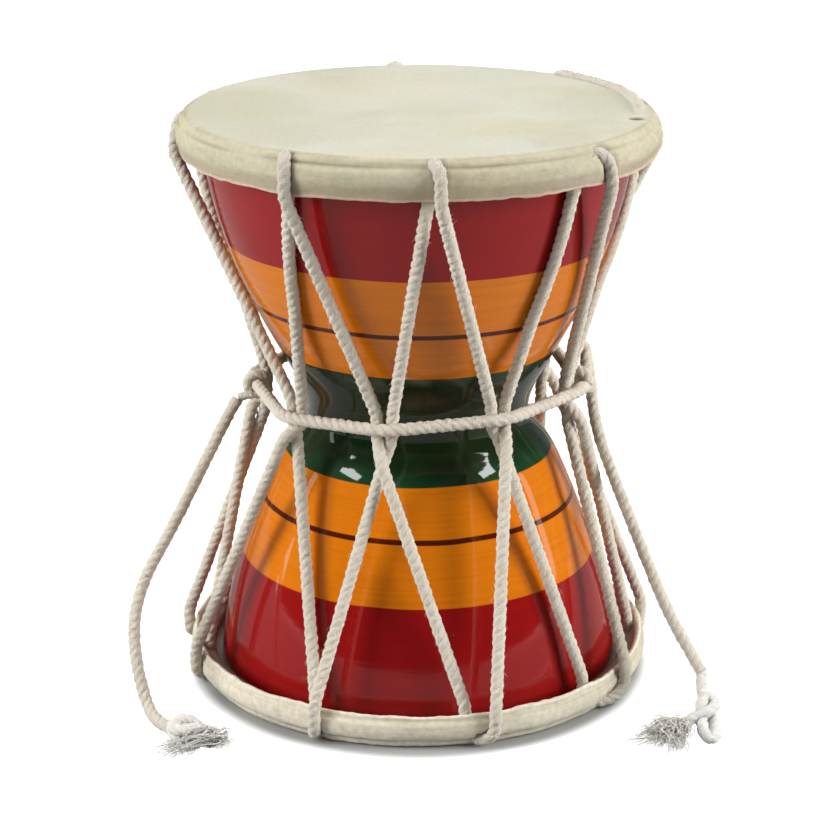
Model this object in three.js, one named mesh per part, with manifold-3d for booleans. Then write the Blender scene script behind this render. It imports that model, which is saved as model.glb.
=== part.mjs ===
// Damaru: a two-headed hourglass hand drum with a turned wooden shell, two rawhide heads,
// one continuous lacing rope, a belt rope at the waist and two strikers on cords.
// Millimetres, +Z up. The origin is on the floor under the drum's axis, and the front faces -Y.
import * as THREE from 'three';
import { mergeVertices } from 'three/addons/utils/BufferGeometryUtils.js';
import Module from 'manifold-3d';

const wasm = await Module();
wasm.setup();

// ---- driving dimensions -------------------------------------------------------------------
const HEIGHT = 148.4; // between the two playing faces
const MIDDLE = HEIGHT / 2;
const GAP = 0.3; // kept between pieces that touch
const ROUND_STEPS = 28; // facets round the drum

const SHELL = {
  halfHeight: 72.7, // from the waist to a mouth
  neckRadius: 30,
  hoopRadius: 54, // the widest the shell may be inside a rolled rim
  wall: 6.2,
  waistSoftness: 0.06, // rounds the sharp waist, as a share of the half height
  upper: { mouthRadius: 55, fullness: 1.95, reach: 73.3 },
  lower: { mouthRadius: 53, fullness: 1.72, reach: 74.2 },
  pinch: { depth: 2.6, rise: -6.5, width: 5.5 }, // the groove just under the waist, above the lower shoulder
  outerSteps: 7,
  innerSteps: 4,
};

const HEAD = {
  skin: 1.2, // thickness of the hide over the mouth
  innerRadius: 54.6, // inner face of the rolled rim
  topDepth: 10.1, // from the playing face to the rim's cut edge
  bottomDepth: 9.1,
};

const ROPE_RADIUS = 1.65;
const ROPE_SIDES = 8;
const CUTTER_SIDES = 6;

const LACE = {
  innerRadius: 56.2, // strand between the shell and the rim
  outerRadius: 61.9, // strand outside the rim
  waistRadius: 39.2, // strands pulled in under the belt
  waistSpread: 2.8, // half the angle between the two strands under the belt
  waistHold: 2.6, // how far above and below the belt the strands stay pulled in
  crossOver: 43.4, // radius of the strand that crosses outside
  crossUnder: 39.6, // radius of the strand that crosses inside
};

// Where the rope goes through each head: [inner strand, outer strand], degrees from the front.
const TOP_HOLES = [
  [-93, -86], [-32.5, -30], [2.5, 4.8], [41, 48.5], [95, 98], [138, 142], [184, 188], [242, 248],
];
const BOTTOM_HOLES = [
  [-78, -69], [-27, -24.5], [12, 18], [48, 59], [90, 100], [143, 149], [195, 201], [252, 267],
];
// Where the strands are gathered at the waist: [degrees from the front, height of the belt, and how far
// below the belt the two strands cross].
const WAIST = [
  [-50, 76, 5], [-12, 77.4, 8.6], [30, 78.7, 6.2], [75, 77.8, 8.6],
  [123, 78, 8.6], [167, 78, 8.6], [217, 77.6, 8.6], [270, 77.9, 8.6],
];

const BELT = {
  radius: 42.85,
  turnRadius: 2.5, // of the knot's turns, to the middle of the rope
  turnRope: 1.4, // rope radius where the knot squeezes it
  turnSides: 6,
  turnSteps: 8,
  knotShare: 0.2, // place of the knot between the fourth and fifth waist crossings
  bightOut: 2, // the loop that stands up from the knot, outside and above it
  bightUp: 3.2,
  hitchReach: 4.4, // from the eighth crossing along the belt to the left striker's hitch
};

// Free cords, as points chosen by hand from the belt down to the striker knots.
const LEFT_CORD = [
  [-46.4, -6.3, 73.6], [-48.6, -7.6, 70.2], [-51.2, -9.3, 65.4], [-53.8, -11.4, 60.4],
  [-56.4, -13.8, 55.6], [-58.9, -16.4, 50.9], [-61.6, -19, 46], [-64.3, -21.6, 41.2],
  [-67, -24, 37], [-69.4, -26.4, 32.6], [-71.3, -28.9, 27.6], [-72.3, -31.4, 22.2],
  [-72.1, -34, 16.8], [-71.2, -36.4, 11.4], [-69.8, -38.9, 6.6], [-68.2, -41.8, 3.1],
  [-66.4, -45.4, 1.95], [-64, -48.9, 1.95], [-61.5, -51.8, 2.3],
];
const RIGHT_CORD = [
  [43.4, 3.1, 84.2], [44.2, 3.4, 81], [44.9, 2.4, 76.6], [45.4, -0.2, 71.4], [46.2, -3.1, 65.8],
  [47.9, -6.3, 60.4], [50.2, -10, 54.8], [52.5, -13.7, 49.4], [54.9, -17.4, 44], [57.2, -21, 38.8],
  [59.4, -24.4, 33.8], [61.6, -27.6, 28.8], [64.2, -30.7, 23.6], [67, -33.4, 18.8],
  [69.7, -35.8, 14.6], [71.9, -38.2, 11.2],
];

// The knotted ends of the strikers: middle of the knot, where the cord enters, end of the tassel.
const LEFT_STRIKER = { knot: [-56.5, -56, 4.6], entry: [-61, -52.2, 2.6], tasselEnd: [-49, -62, 1.8] };
const RIGHT_STRIKER = { knot: [72.4, -47, 4.6], entry: [72.3, -38.8, 10.4], tasselEnd: [58, -62, 1.8] };
const STRIKER = {
  coreRadius: 3.8,
  turnRadius: 2.9,
  tasselSides: 8,
  tasselFlatness: 0.4,
  tassel: [[0, 0], [1.7, 0], [2.2, 4], [4.2, 12], [3.4, 15], [0, 15.4]], // [radius, distance along]
};

// ---- materials ----------------------------------------------------------------------------
const lacquer = () => new THREE.MeshStandardMaterial({ color: 0x8a1a1c, roughness: 0.15, metalness: 0 });
const rawhide = () => new THREE.MeshStandardMaterial({ color: 0xdfdcc9, roughness: 0.7, metalness: 0 });
const cotton = () => new THREE.MeshStandardMaterial({ color: 0xd8ceba, roughness: 0.9, metalness: 0 });

// ---- helpers ------------------------------------------------------------------------------

// A point by its angle from the front (towards +X), its distance from the axis and its height.
function at(degrees, radius, z) {
  const angle = THREE.MathUtils.degToRad(degrees);
  return new THREE.Vector3(radius * Math.sin(angle), -radius * Math.cos(angle), z);
}

// A chain of straight stretches whose steps are exactly the points given.
class Route extends THREE.Curve {
  constructor(points) {
    super();
    this.points = points;
    this.last = points.length - 1;
  }

  getPoint(t, target = new THREE.Vector3()) {
    const place = t * this.last;
    const index = Math.min(Math.floor(place), this.last - 1);
    return target.lerpVectors(this.points[index], this.points[index + 1], place - index);
  }

  getPointAt(u, target) {
    return this.getPoint(u, target);
  }

  getTangentAt(u, target = new THREE.Vector3()) {
    const index = Math.round(u * this.last);
    const here = this.points[index];
    target.set(0, 0, 0);
    if (index > 0) {
      target.add(here.clone().sub(this.points[index - 1]).normalize());
    }
    if (index < this.last) {
      target.add(this.points[index + 1].clone().sub(here).normalize());
    }
    return target.normalize();
  }
}

// A rope of many-sided section along a list of points.
function ropeGeometry(points, radius = ROPE_RADIUS, sides = ROPE_SIDES) {
  const section = new THREE.Shape();
  for (let side = 0; side < sides; side += 1) {
    const angle = (2 * Math.PI * side) / sides;
    const corner = [radius * Math.cos(angle), radius * Math.sin(angle)];
    if (side === 0) {
      section.moveTo(...corner);
    } else {
      section.lineTo(...corner);
    }
  }
  section.closePath();
  return new THREE.ExtrudeGeometry(section, {
    steps: points.length - 1,
    extrudePath: new Route(points),
    bevelEnabled: false,
  });
}

// A closed geometry as a solid that can be joined or cut.
function solidOf(geometry) {
  const bare = geometry.clone();
  bare.deleteAttribute('normal');
  bare.deleteAttribute('uv');
  const merged = mergeVertices(bare, 1e-4);
  const corners = merged.index.array;
  const kept = [];
  for (let i = 0; i < corners.length; i += 3) {
    const [a, b, c] = corners.slice(i, i + 3);
    if (a !== b && b !== c && c !== a) {
      kept.push(a, b, c);
    }
  }
  return new wasm.Manifold(new wasm.Mesh({
    numProp: 3,
    vertProperties: new Float32Array(merged.attributes.position.array),
    triVerts: new Uint32Array(kept),
  }));
}

// A solid back as a geometry.
function geometryOf(solid) {
  const mesh = solid.getMesh();
  const geometry = new THREE.BufferGeometry();
  geometry.setAttribute('position', new THREE.BufferAttribute(new Float32Array(mesh.vertProperties), 3));
  geometry.setIndex(new THREE.BufferAttribute(new Uint32Array(mesh.triVerts), 1));
  geometry.computeVertexNormals();
  return geometry;
}

// A profile of [radius, height] points turned round the drum's axis.
function turned(profile, steps = ROUND_STEPS) {
  const points = profile.map(([radius, z]) => new THREE.Vector2(radius, z));
  return new THREE.LatheGeometry(points, steps).rotateX(Math.PI / 2);
}

// ---- shell --------------------------------------------------------------------------------

// The shell's outer radius at a height above the waist, or below it when negative.
function shellRadius(rise) {
  const half = rise >= 0 ? SHELL.upper : SHELL.lower;
  const share = Math.abs(rise) / half.reach;
  const soft = Math.hypot(share, SHELL.waistSoftness) - SHELL.waistSoftness;
  const swell = 1 - (1 - soft) ** half.fullness;
  const pinch = SHELL.pinch.depth * Math.exp(-(((rise - SHELL.pinch.rise) / SHELL.pinch.width) ** 2));
  return Math.min(SHELL.neckRadius + (half.mouthRadius - SHELL.neckRadius) * swell - pinch, SHELL.hoopRadius);
}

// Heights from one mouth to the other, closer together near the waist.
function shellRises(steps) {
  const rises = [];
  for (let step = -steps; step <= steps; step += 1) {
    const share = step / steps;
    rises.push(Math.sign(share) * Math.abs(share) ** 1.3 * SHELL.halfHeight);
  }
  return rises;
}

// An hourglass tube, open from mouth to mouth.
function shellGeometry() {
  const outer = shellRises(SHELL.outerSteps).map((rise) => [shellRadius(rise), MIDDLE + rise]);
  const inner = shellRises(SHELL.innerSteps)
    .map((rise) => [shellRadius(rise) - SHELL.wall, MIDDLE + rise])
    .reverse();
  return turned([...outer, ...inner, outer[0]]);
}

// ---- heads --------------------------------------------------------------------------------

// The rolled rim and its skin, as [radius, depth below the playing face], from the middle out.
function headProfile(depth) {
  return [
    [0, 0],
    [56.5, 0],
    [58, 0.7],
    [59.2, 2.2],
    [60.6, 4.6],
    [60.4, 7],
    [59.6, depth - 0.5],
    [58.4, depth],
    [HEAD.innerRadius + 0.8, depth],
    [HEAD.innerRadius, depth - 0.8],
    [HEAD.innerRadius, HEAD.skin],
    [0, HEAD.skin],
  ];
}

// One head: a skin with its rolled rim, bitten by the rope wherever it passes.
function headGeometry(isTop, loops) {
  const depth = isTop ? HEAD.topDepth : HEAD.bottomDepth;
  const profile = headProfile(depth).map(([radius, down]) => [radius, isTop ? HEIGHT - down : down]);
  let head = solidOf(turned(isTop ? profile.reverse() : profile));
  for (const loop of loops) {
    head = head.subtract(solidOf(ropeGeometry(loop, ROPE_RADIUS + GAP, CUTTER_SIDES)));
  }
  return geometryOf(head);
}

// ---- lacing -------------------------------------------------------------------------------

// Item number n of a ring, counting from one and going round again past its end.
const ringItem = (list, n) => list[(n - 1) % list.length];

// Depth under the playing face as a height.
const heightAt = (isTop, depth) => (isTop ? HEIGHT - depth : depth);

// The rope over a rim, from the strand inside it to the strand outside it.
function rimLoop(isTop, hole) {
  const [inside, outside] = hole;
  const crest = isTop ? 0.7 : 1.75; // the rope rises over the top rim but must clear the floor
  const way = [
    [0, LACE.innerRadius, 9.5],
    [0, LACE.innerRadius + 0.1, crest + 2.2],
    [0.25, 57.7, crest + 0.3],
    [0.65, 60, crest],
    [1, LACE.outerRadius - 0.1, crest + 2.7],
    [1, LACE.outerRadius, 10.4],
  ];
  return way.map(([share, radius, depth]) => (
    at(THREE.MathUtils.lerp(inside, outside, share), radius, heightAt(isTop, depth))
  ));
}

// The first end of the rope, from its hole in the top head over the rim.
function startLoop() {
  const [, outside] = TOP_HOLES[4];
  return [
    at(outside + 1.6, 57.3, HEIGHT - 3.2),
    at(outside + 1.2, 58, HEIGHT - 1),
    at(outside + 0.4, 60, HEIGHT - 0.7),
    at(outside, LACE.outerRadius - 0.1, HEIGHT - 3.4),
    at(outside, LACE.outerRadius, HEIGHT - 10.4),
  ];
}

// The stretch that comes up through hole five, runs along the rim and goes over it at hole six.
function rimRun() {
  const [inside] = TOP_HOLES[4];
  const [, outside] = TOP_HOLES[5];
  return [
    at(inside, LACE.innerRadius, HEIGHT - 9.5),
    at(inside, LACE.innerRadius, HEIGHT - 2.4),
    at(inside + 0.8, 55.4, HEIGHT + 0.5),
    at(inside + 3.5, 54, HEIGHT + 1.5),
    at(inside + 11, 54.1, HEIGHT + 1.5),
    at(inside + 20, 55.3, HEIGHT + 1.5),
    at(inside + 30, 56.4, HEIGHT + 1.5),
    at(outside - 6, 57.4, HEIGHT + 1.3),
    at(outside - 1.8, 59.4, HEIGHT + 0.4),
    at(outside, 61.2, HEIGHT - 1.8),
    at(outside, LACE.outerRadius, HEIGHT - 5.1),
    at(outside, LACE.outerRadius, HEIGHT - 10.4),
  ];
}

// The last end of the rope, tucked up into hole six from below.
function endTuck() {
  const [inside] = TOP_HOLES[5];
  return [
    at(inside, LACE.innerRadius, HEIGHT - 9.5),
    at(inside, LACE.innerRadius, HEIGHT - 3.4),
  ];
}

// The points of a straight strand that rests on the shell, pushed out to lie on it.
function restingPoints(from, to) {
  const resting = [];
  const samples = 6;
  for (let i = 1; i < samples; i += 1) {
    const point = from.clone().lerp(to, i / samples);
    const radius = Math.hypot(point.x, point.y);
    const least = shellRadius(point.z - MIDDLE) + ROPE_RADIUS + GAP + 0.1;
    if (radius < least) {
      resting.push(new THREE.Vector3(point.x * (least / radius), point.y * (least / radius), point.z));
    }
  }
  return resting;
}

// One stroke from an outer strand at one rim, through the waist, to an inner strand at the other.
function stroke(from, number, goesDown, crossesOver, to) {
  const [degrees, beltHeight, crossDrop] = ringItem(WAIST, number);
  const side = goesDown ? -LACE.waistSpread : LACE.waistSpread;
  const crossing = at(degrees, crossesOver ? LACE.crossOver : LACE.crossUnder, beltHeight - crossDrop);
  const above = at(degrees + side, LACE.waistRadius, beltHeight + LACE.waistHold);
  const below = at(degrees + side, LACE.waistRadius, beltHeight - LACE.waistHold);
  const gather = goesDown ? [above, below, crossing] : [crossing, below, above];
  return [
    ...restingPoints(from, gather[0]),
    ...gather,
    ...restingPoints(gather[2], to),
  ];
}

// The whole lacing: the centreline of one rope, and the part of it at each hole of each head.
function lacingRoute() {
  const route = [];
  const loops = { top: [], bottom: [] };
  const addLoop = (isTop, points) => {
    const first = route.length;
    route.push(...points);
    loops[isTop ? 'top' : 'bottom'].push([Math.max(first - 1, 0), route.length + 1]);
  };
  const addPass = (firstNumber, crossesOver, lastLoop) => {
    for (let count = 0; count < WAIST.length; count += 1) {
      const number = firstNumber + count;
      const goesDown = count % 2 === 0;
      const hole = ringItem(goesDown ? BOTTOM_HOLES : TOP_HOLES, number + 1);
      const next = count === WAIST.length - 1 ? lastLoop : rimLoop(!goesDown, hole);
      route.push(...stroke(route[route.length - 1], number, goesDown, crossesOver, next[0]));
      addLoop(!goesDown, next);
    }
  };
  addLoop(true, startLoop());
  addPass(5, false, rimRun());
  addPass(6, true, endTuck());
  const cut = (spans) => spans.map(([first, last]) => route.slice(first, last));
  return { route, topLoops: cut(loops.top), bottomLoops: cut(loops.bottom) };
}

// ---- belt ---------------------------------------------------------------------------------

// The belt's points: two at each waist crossing, so that it turns round both strands.
function beltPoints() {
  const points = [];
  const order = [5, 6, 7, 8, 1, 2, 3, 4];
  for (const number of order) {
    const [degrees, height] = ringItem(WAIST, number);
    points.push(at(degrees - LACE.waistSpread, BELT.radius, height));
    points.push(at(degrees + LACE.waistSpread, BELT.radius, height));
  }
  return points;
}

// A ring of rope with its axis along a direction.
function ropeTurn(centre, axis, radius) {
  const ring = new THREE.TorusGeometry(radius, BELT.turnRope, BELT.turnSides, BELT.turnSteps);
  const upright = new THREE.Vector3(0, 0, 1);
  ring.applyQuaternion(new THREE.Quaternion().setFromUnitVectors(upright, axis.clone().normalize()));
  return ring.translate(centre.x, centre.y, centre.z);
}

// Several closed geometries joined into one body.
function joined(geometries) {
  return geometryOf(geometries.map(solidOf).reduce((body, piece) => body.add(piece)));
}

// The belt rope with its knot on the right and the left striker's hitch, joined into one body.
function beltGeometry() {
  const ring = beltPoints();
  const first = ring[0];
  const last = ring[ring.length - 1];
  const middle = ring.length / 2;
  const along = first.clone().sub(last).normalize();
  const knot = last.clone().lerp(first, BELT.knotShare);
  const overlap = 1; // how far each end of the rope runs past the knot's middle
  const backHalf = [knot.clone().addScaledVector(along, -overlap), ...ring.slice(0, middle + 1)];
  const frontHalf = [...ring.slice(middle), knot.clone().addScaledVector(along, overlap)];
  const outwards = knot.clone().setZ(0).normalize();
  const bight = knot.clone().addScaledVector(outwards, BELT.bightOut);
  bight.z += BELT.bightUp;
  const afterHitch = ring[middle].clone().sub(ring[middle - 1]).normalize();
  const hitch = ring[middle - 1].clone().addScaledVector(afterHitch, BELT.hitchReach);
  return joined([
    ropeGeometry(backHalf),
    ropeGeometry(frontHalf),
    ropeTurn(knot, along, BELT.turnRadius),
    ropeTurn(bight, outwards, BELT.turnRadius + 0.2),
    ropeTurn(hitch, afterHitch, BELT.turnRadius),
  ]);
}

// ---- strikers -----------------------------------------------------------------------------

const cordPoints = (list) => list.map(([x, y, z]) => new THREE.Vector3(x, y, z));

// A striker's end: a round knot with one turn of rope showing, and a flat frayed tassel.
function strikerGeometry({ knot, entry, tasselEnd }) {
  const centre = new THREE.Vector3(...knot);
  const end = new THREE.Vector3(...tasselEnd);
  const lie = end.clone().sub(centre).setZ(0).normalize();
  const across = new THREE.Vector3(lie.y, -lie.x, 0);
  const profile = STRIKER.tassel.map(([radius, along]) => new THREE.Vector2(radius, along));
  const tassel = new THREE.LatheGeometry(profile, STRIKER.tasselSides);
  const [, length] = STRIKER.tassel[STRIKER.tassel.length - 1];
  tassel.scale(1, end.distanceTo(centre) / length, STRIKER.tasselFlatness);
  tassel.applyMatrix4(new THREE.Matrix4().makeBasis(across, lie, new THREE.Vector3(0, 0, 1)));
  tassel.translate(centre.x, centre.y, end.z);
  const core = new THREE.SphereGeometry(STRIKER.coreRadius, 8, 6);
  return joined([
    ropeTurn(centre, across.clone().setZ(0.7), STRIKER.turnRadius),
    core.translate(centre.x, centre.y, centre.z),
    ropeGeometry([new THREE.Vector3(...entry), centre]),
    tassel,
  ]);
}

// ---- the drum -----------------------------------------------------------------------------

const drum = new THREE.Group();

function addPiece(name, geometry, material) {
  const piece = new THREE.Mesh(geometry, material);
  piece.name = name;
  drum.add(piece);
}

const lacing = lacingRoute();
addPiece('shell', shellGeometry(), lacquer());
addPiece('top_head', headGeometry(true, lacing.topLoops), rawhide());
addPiece('bottom_head', headGeometry(false, lacing.bottomLoops), rawhide());
addPiece('lacing', ropeGeometry(lacing.route), cotton());
addPiece('belt', beltGeometry(), cotton());
addPiece('striker_cord_left', ropeGeometry(cordPoints(LEFT_CORD)), cotton());
addPiece('striker_cord_right', ropeGeometry(cordPoints(RIGHT_CORD)), cotton());
addPiece('striker_knot_left', strikerGeometry(LEFT_STRIKER), cotton());
addPiece('striker_knot_right', strikerGeometry(RIGHT_STRIKER), cotton());

export default drum;
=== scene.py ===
"""A damaru hand drum: lacquered hourglass shell, laced rawhide heads, belt rope and corded strikers."""

import logging
import math
from dataclasses import dataclass, field
from enum import Enum

import bpy
import numpy as np
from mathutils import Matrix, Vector, noise


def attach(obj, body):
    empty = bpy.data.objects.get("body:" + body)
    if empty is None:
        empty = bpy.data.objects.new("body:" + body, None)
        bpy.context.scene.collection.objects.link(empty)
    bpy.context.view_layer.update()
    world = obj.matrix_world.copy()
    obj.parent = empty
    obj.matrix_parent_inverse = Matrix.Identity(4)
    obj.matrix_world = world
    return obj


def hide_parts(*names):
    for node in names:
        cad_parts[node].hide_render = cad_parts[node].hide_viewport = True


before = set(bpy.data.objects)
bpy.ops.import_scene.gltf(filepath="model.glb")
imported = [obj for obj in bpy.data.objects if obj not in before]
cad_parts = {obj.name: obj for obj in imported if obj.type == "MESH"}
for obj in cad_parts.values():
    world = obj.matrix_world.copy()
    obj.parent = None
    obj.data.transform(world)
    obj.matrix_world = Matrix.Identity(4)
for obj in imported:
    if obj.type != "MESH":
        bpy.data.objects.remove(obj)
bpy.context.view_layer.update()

LOG = logging.getLogger("damaru")
MM = 0.001
HEIGHT = 148.4
MIDDLE = HEIGHT / 2
ROPE_RADIUS = 1.65

SHELL_NECK = 30.0
SHELL_HOOP = 54.0
UPPER_FLARE = (55.0, 1.95, 73.3)
LOWER_FLARE = (53.0, 1.72, 74.2)
NECK_ROUNDING = 0.06
GROOVE_DEPTH = 2.6
GROOVE_RISE = -6.5
GROOVE_WIDTH = 5.5
HIDE_RADIUS = 60
FULL_TURN = 2 * math.pi

TOP_HOLES = (
    (-93, -86), (-32.5, -30), (2.5, 4.8), (41, 48.5), (95, 98), (138, 142), (184, 188), (242, 248),
)
BOTTOM_HOLES = (
    (-78, -69), (-27, -24.5), (12, 18), (48, 59), (90, 100), (143, 149), (195, 201), (252, 267),
)
WAIST = (
    (-50, 76, 5), (-12, 77.4, 8.6), (30, 78.7, 6.2), (75, 77.8, 8.6),
    (123, 78, 8.6), (167, 78, 8.6), (217, 77.6, 8.6), (270, 77.9, 8.6),
)
WAIST_SPREAD = 2.8
BELT_RADIUS = 42.85

LEFT_CORD = (
    (-46.4, -6.3, 73.6), (-48.6, -7.6, 70.2), (-51.2, -9.3, 65.4), (-53.8, -11.4, 60.4),
    (-56.4, -13.8, 55.6), (-58.9, -16.4, 50.9), (-61.6, -19, 46), (-64.3, -21.6, 41.2),
    (-67, -24, 37), (-69.4, -26.4, 32.6), (-71.3, -28.9, 27.6), (-72.3, -31.4, 22.2),
    (-72.1, -34, 16.8), (-71.2, -36.4, 11.4), (-69.8, -38.9, 6.6), (-68.2, -41.8, 3.1),
    (-66.4, -45.4, 1.95), (-64, -48.9, 1.95), (-61.5, -51.8, 2.3),
)
RIGHT_CORD = (
    (43.4, 3.1, 84.2), (44.2, 3.4, 81), (44.9, 2.4, 76.6), (45.4, -0.2, 71.4), (46.2, -3.1, 65.8),
    (47.9, -6.3, 60.4), (50.2, -10, 54.8), (52.5, -13.7, 49.4), (54.9, -17.4, 44), (57.2, -21, 38.8),
    (59.4, -24.4, 33.8), (61.6, -27.6, 28.8), (64.2, -30.7, 23.6), (67, -33.4, 18.8),
    (69.7, -35.8, 14.6), (71.9, -38.2, 11.2),
)

LEFT_KNOT = (
    (-60.3, -55.0, 2.5), (-59.4, -58.8, 2.0), (-56.6, -61.2, 1.9), (-53.8, -59.0, 2.2),
    (-53.3, -55.2, 3.2), (-55.8, -53.0, 4.9), (-59.4, -53.6, 5.6), (-61.2, -56.4, 4.9),
    (-58.6, -58.9, 5.2), (-54.9, -58.0, 5.4), (-51.6, -56.4, 3.6), (-50.6, -57.2, 2.0),
)
RIGHT_KNOT = (
    (71.6, -41.4, 7.6), (72.6, -44.6, 5.4), (73.9, -49.4, 2.8), (74.0, -54.8, 1.9), (72.4, -57.2, 1.8),
    (70.8, -54.8, 2.4), (70.6, -50.4, 4.6), (70.9, -46.6, 7.2), (73.2, -44.6, 8.2), (74.9, -46.6, 6.4),
    (73.2, -49.4, 6.0), (69.8, -50.6, 5.4), (66.6, -51.4, 3.6), (64.8, -52.4, 2.4),
)

Piece = bpy.types.Object
Material = bpy.types.Material
Socket = bpy.types.NodeSocket
Points = np.ndarray


class End(Enum):
    """Which end of the drum a head covers."""

    TOP = "top"
    BOTTOM = "bottom"


# Points and curves, in millimetres


def at(degrees: float, radius: float, height: float) -> Points:
    """A point by its angle from the front towards +X, its distance from the axis and its height."""
    angle = math.radians(degrees)
    return np.array([radius * math.sin(angle), -radius * math.cos(angle), height])


def distances(points: Points) -> Points:
    """How far along a chain of points each one is."""
    lengths = np.linalg.norm(np.diff(points, axis=0), axis=1)
    return np.concatenate([[0.0], np.cumsum(lengths)])


def evenly(points: Points, step: float) -> Points:
    """Points a step apart along a chain of straight stretches.

    Args:
        points: the chain's corners.
        step: distance between the points returned.

    Returns:
        The points, with both ends of the chain among them.
    """
    along = distances(points)
    count = max(int(round(along[-1] / step)), 2)
    places = np.linspace(0.0, along[-1], count + 1)
    return np.stack([np.interp(places, along, points[:, axis]) for axis in range(3)], axis=1)


def softened(points: Points, step: float, softness: float) -> Points:
    """A chain with its corners rounded, as a rope under tension rounds them.

    Args:
        points: the chain's corners.
        step: distance between the points returned.
        softness: how far the rounding spreads along the chain.

    Returns:
        Points a step apart, with both ends of the chain kept.
    """
    fine = evenly(np.asarray(points, float), step)
    reach = int(math.ceil(3 * softness / step))
    weights = np.exp(-0.5 * (np.arange(-reach, reach + 1) * step / softness) ** 2)
    weights /= weights.sum()
    before = 2 * fine[0] - fine[reach:0:-1]
    after = 2 * fine[-1] - fine[-2:-reach - 2:-1]
    padded = np.concatenate([before, fine, after])
    smooth = np.stack([np.convolve(padded[:, axis], weights, "valid") for axis in range(3)], axis=1)
    return evenly(smooth, step)


def unit(vector: Points) -> Points:
    """The vector at length one."""
    return vector / np.linalg.norm(vector)


def frames(centre: Points) -> tuple[Points, Points, Points]:
    """Directions along, and two across, at each point of a centreline, with no twist of their own."""
    along = np.gradient(centre, axis=0)
    along /= np.linalg.norm(along, axis=1, keepdims=True)
    first = np.cross(along[0], [0.0, 0.0, 1.0])
    if np.linalg.norm(first) < 0.1:
        first = np.cross(along[0], [1.0, 0.0, 0.0])
    across = [unit(first)]
    for direction in along[1:]:
        carried = across[-1] - direction * np.dot(across[-1], direction)
        across.append(unit(carried))
    across = np.array(across)
    return along, across, np.cross(along, across)


def tube_faces(start: int, rings: int, sides: int) -> list[tuple]:
    """The four-sided faces of a tube.

    Args:
        start: number of its first vertex.
        rings: rings of vertices along it.
        sides: vertices in a ring.

    Returns:
        The vertex numbers of each face, ring by ring.
    """
    faces = []
    for ring in range(start, start + (rings - 1) * sides, sides):
        for j in range(sides):
            k = (j + 1) % sides
            faces.append((ring + j, ring + k, ring + sides + k, ring + sides + j))
    return faces


# Blender helpers


def deselect_all() -> None:
    """Leaves object mode with nothing selected."""
    if bpy.context.mode != "OBJECT":
        bpy.ops.object.mode_set(mode="OBJECT")
    bpy.ops.object.select_all(action="DESELECT")


def make_active(piece: Piece) -> None:
    """Selects one piece and nothing else."""
    deselect_all()
    piece.select_set(True)
    bpy.context.view_layer.objects.active = piece


def spun(name: str, outline: list[tuple[float, float]], steps: int) -> Piece:
    """Draws an outline point by point and spins it round the drum's axis.

    Args:
        name: the new piece's name.
        outline: radius and height of each point, in millimetres.
        steps: faces round the drum.

    Returns:
        The turned piece, with faces outwards.
    """
    deselect_all()
    bpy.ops.mesh.primitive_plane_add(size=MM, location=(0, 0, 0))
    piece = bpy.context.active_object
    piece.name = piece.data.name = name
    bpy.ops.object.mode_set(mode="EDIT")
    bpy.ops.mesh.select_all(action="SELECT")
    bpy.ops.mesh.merge(type="CENTER")
    radius, height = outline[0]
    bpy.ops.transform.translate(value=(0, -radius * MM, height * MM))
    for (r0, z0), (r1, z1) in zip(outline, outline[1:]):
        move = (0, -(r1 - r0) * MM, (z1 - z0) * MM)
        bpy.ops.mesh.extrude_region_move(TRANSFORM_OT_translate={"value": move})
    bpy.ops.mesh.select_all(action="SELECT")
    bpy.ops.mesh.spin(steps=steps, angle=FULL_TURN, center=(0, 0, 0), axis=(0, 0, 1))
    bpy.ops.mesh.select_all(action="SELECT")
    bpy.ops.mesh.remove_doubles(threshold=0.01 * MM)
    bpy.ops.mesh.normals_make_consistent(inside=False)
    bpy.ops.object.mode_set(mode="OBJECT")
    bpy.ops.object.shade_smooth()
    return piece


def per_vertex(piece: Piece, what: str) -> Points:
    """Three numbers a vertex: its place in metres (co) or its normal."""
    flat = np.zeros(len(piece.data.vertices) * 3)
    piece.data.vertices.foreach_get(what, flat)
    return flat.reshape(-1, 3)


def noise_at(points: Points, scale: tuple[float, float, float], seed: float) -> Points:
    """Smooth noise between about -1 and 1 at each point.

    Args:
        points: places in millimetres.
        scale: waves per millimetre along X, Y and Z.
        seed: moves the pattern.

    Returns:
        One value a point.
    """
    scaled = points * np.array(scale) + seed
    return np.array([noise.noise(Vector(point)) for point in scaled])


def mesh_piece(name: str, points: Points, faces: list, uvs: list) -> Piece:
    """A new smooth-shaded mesh piece.

    Args:
        name: the piece's name.
        points: vertices in millimetres.
        faces: vertex numbers of each face.
        uvs: one pair a face corner.

    Returns:
        The piece, at the origin.
    """
    mesh = bpy.data.meshes.new(name)
    mesh.from_pydata((points * MM).tolist(), [], faces)
    layer = mesh.uv_layers.new(name="rope")
    layer.data.foreach_set("uv", np.array(uvs, np.float32).ravel())
    mesh.polygons.foreach_set("use_smooth", [True] * len(mesh.polygons))
    mesh.update()
    piece = bpy.data.objects.new(name, mesh)
    bpy.context.scene.collection.objects.link(piece)
    return piece


def joined(name: str, pieces: list[Piece]) -> Piece:
    """Several pieces as one piece with a given name."""
    make_active(pieces[0])
    for piece in pieces[1:]:
        piece.select_set(True)
    bpy.ops.object.join()
    result = bpy.context.active_object
    result.name = result.data.name = name
    return result


# Rope


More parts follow.
